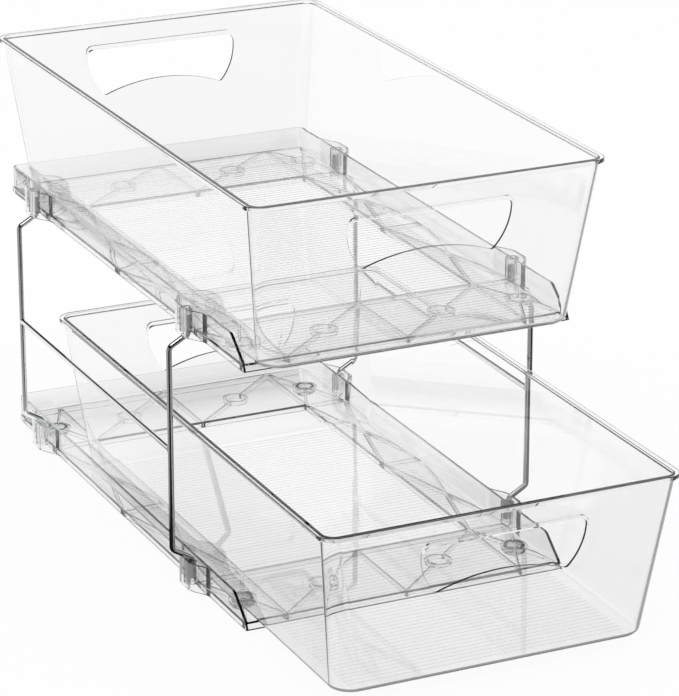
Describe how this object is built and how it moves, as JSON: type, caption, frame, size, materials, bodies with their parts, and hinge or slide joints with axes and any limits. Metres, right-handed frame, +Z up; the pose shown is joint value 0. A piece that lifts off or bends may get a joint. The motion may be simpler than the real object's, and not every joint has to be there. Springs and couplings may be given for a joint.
{
  "type": "pull-out basket organizer",
  "caption": "Free-standing organizer with clear baskets that slide out of stacked clear trays held apart by chromed wire frames.",
  "frame": {"origin": "on the surface that the feet stand on, at the middle of the width and of the whole depth with the baskets out as in the picture", "axes": "+X to the right seen from the front, -Y to the front where the baskets pull out, +Z up"},
  "size_m": [0.2732, 0.5658, 0.303],
  "materials": {
    "clear_base": "clear, polished",
    "clear_basket": "clear, polished",
    "chrome_wire": "polished chrome plating",
    "grey_rubber": "soft, translucent grey"
  },
  "bodies": {
    "frame": {"lower_base": "clear_base", "upper_base": "clear_base", "left_front_post": "chrome_wire", "left_rear_post": "chrome_wire", "right_front_post": "chrome_wire", "right_rear_post": "chrome_wire", "left_rail": "chrome_wire", "right_rail": "chrome_wire", "left_front_foot": "grey_rubber", "left_rear_foot": "grey_rubber", "right_front_foot": "grey_rubber", "right_rear_foot": "grey_rubber"},
    "lower_basket": {"lower_basket": "clear_basket"},
    "upper_basket": {"upper_basket": "clear_basket"}
  },
  "joints": [
    {"name": "lower_basket_slide", "type": "slide", "parent": "frame", "child": "lower_basket", "axis": [0, -1, 0], "range_m": [-0.119, 0.071]},
    {"name": "upper_basket_slide", "type": "slide", "parent": "frame", "child": "upper_basket", "axis": [0, -1, 0], "range_m": [-0.0114, 0.1786]}
  ]
}
